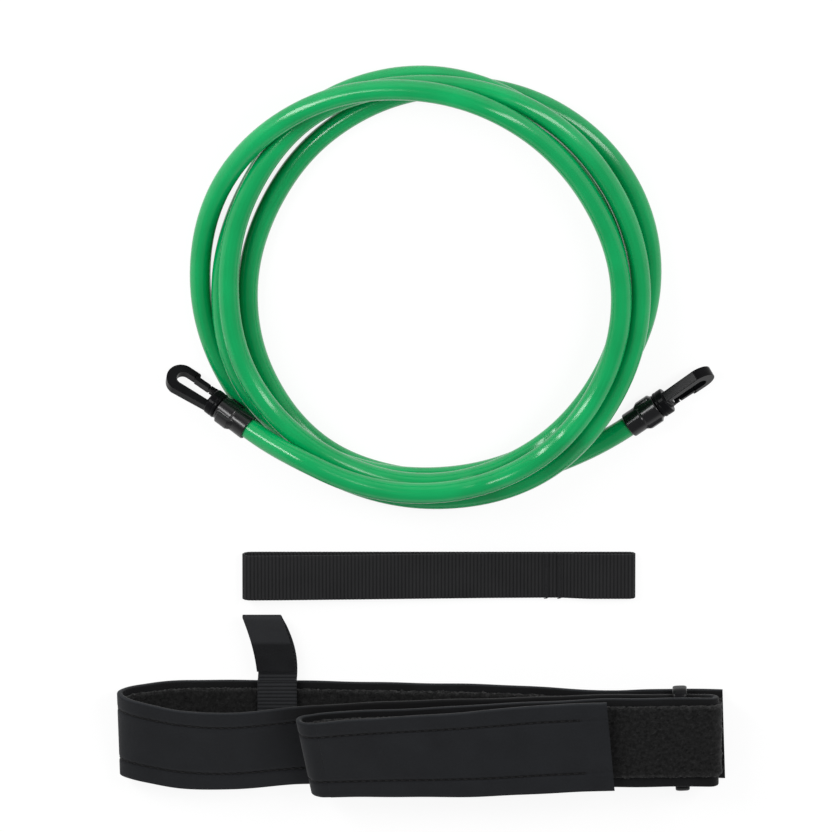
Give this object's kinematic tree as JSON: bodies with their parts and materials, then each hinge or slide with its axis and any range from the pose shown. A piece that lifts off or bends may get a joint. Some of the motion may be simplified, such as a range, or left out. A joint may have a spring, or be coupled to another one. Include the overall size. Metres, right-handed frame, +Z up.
{
  "type": "swim resistance band set",
  "caption": "Coiled rubber resistance tube with a swivelling snap hook at each end, a folded waist belt with sliding ring and tether loop, and a webbing anchor strap.",
  "frame": {"origin": "middle of the set's footprint without the tube, on the surface that it lies on", "axes": "+X along the belt and the strap to the right of the set, +Y from the belt towards the coil, +Z up"},
  "size_m": [0.3216, 0.4055, 0.0504],
  "materials": {
    "tube_rubber": "smooth green latex with a soft gloss",
    "clip_plastic": "moulded black nylon, glossy",
    "washer_steel": "plain stamped steel",
    "black_webbing": "ribbed woven polyester tape, matt",
    "sewing_thread": "dense zigzag of black thread",
    "neoprene_foam": "charcoal neoprene faced with fine knit, matt",
    "pile_tape": "brushed black loop pile",
    "hook_tape": "black tape of tiny nylon hooks",
    "ring_plastic": "moulded black plastic, glossy"
  },
  "bodies": {
    "belt": {"belt_band": "neoprene_foam", "belt_pile": "pile_tape", "tether_root": "black_webbing"},
    "belt_free_end": {"belt_tail": "neoprene_foam", "belt_tail_pile": "pile_tape", "hook_patch": "hook_tape"},
    "ring": {"belt_ring": "ring_plastic"},
    "tether": {"tether_loop": "black_webbing"},
    "coil": {"resistance_tube": "tube_rubber", "left_collar": "clip_plastic", "right_collar": "clip_plastic", "left_tube_stopper": "clip_plastic", "right_tube_stopper": "clip_plastic", "left_swivel_retainer": "washer_steel", "right_swivel_retainer": "washer_steel"},
    "left_snap_hook": {"left_hook": "clip_plastic"},
    "left_snap_gate": {"left_gate": "clip_plastic"},
    "right_snap_hook": {"right_hook": "clip_plastic"},
    "right_snap_gate": {"right_gate": "clip_plastic"},
    "anchor": {"anchor_strap": "black_webbing", "anchor_bartack": "sewing_thread"}
  },
  "joints": [
    {"name": "tail_lift", "type": "hinge", "parent": "belt", "child": "belt_free_end", "pos_m": [-0.05225, -0.097, 0.0315], "axis": [0.1636, -0.9383, -0.3047], "range_deg": [0, 120]},
    {"name": "ring_slide", "type": "slide", "parent": "belt", "child": "ring", "axis": [1, 0, 0], "range_m": [-0.03, 0.008]},
    {"name": "tether_swing", "type": "hinge", "parent": "belt", "child": "tether", "pos_m": [-0.0764, -0.06135, 0.0097], "axis": [1, 0, 0], "range_deg": [0, 80]},
    {"name": "coil_lift", "type": "slide", "parent": "belt", "child": "coil", "axis": [0, 0, 1], "range_m": [0, 0.2]},
    {"name": "anchor_lift", "type": "slide", "parent": "belt", "child": "anchor", "axis": [0, 0, 1], "range_m": [0, 0.2]},
    {"name": "left_swivel", "type": "hinge", "parent": "coil", "child": "left_snap_hook", "pos_m": [-0.0909, 0.0882, 0.0264], "axis": [-0.7737, 0.4649, -0.4305], "continuous": true},
    {"name": "right_swivel", "type": "hinge", "parent": "coil", "child": "right_snap_hook", "pos_m": [0.1089, 0.0831, 0.0084], "axis": [0.8131, 0.5821, 0], "continuous": true},
    {"name": "left_gate_spring", "type": "hinge", "parent": "left_snap_hook", "child": "left_snap_gate", "pos_m": [-0.10996, 0.10348, 0.01123], "axis": [0.1022, 0.7621, 0.6393], "range_deg": [0, 30], "stiffness_Nm_per_rad": 0.03, "springref_deg": -8.59},
    {"name": "right_gate_spring", "type": "hinge", "parent": "right_snap_hook", "child": "right_snap_gate", "pos_m": [0.13336, 0.09698, 0.00449], "axis": [0.4643, -0.6485, 0.6032], "range_deg": [0, 30], "stiffness_Nm_per_rad": 0.03, "springref_deg": -8.59}
  ]
}
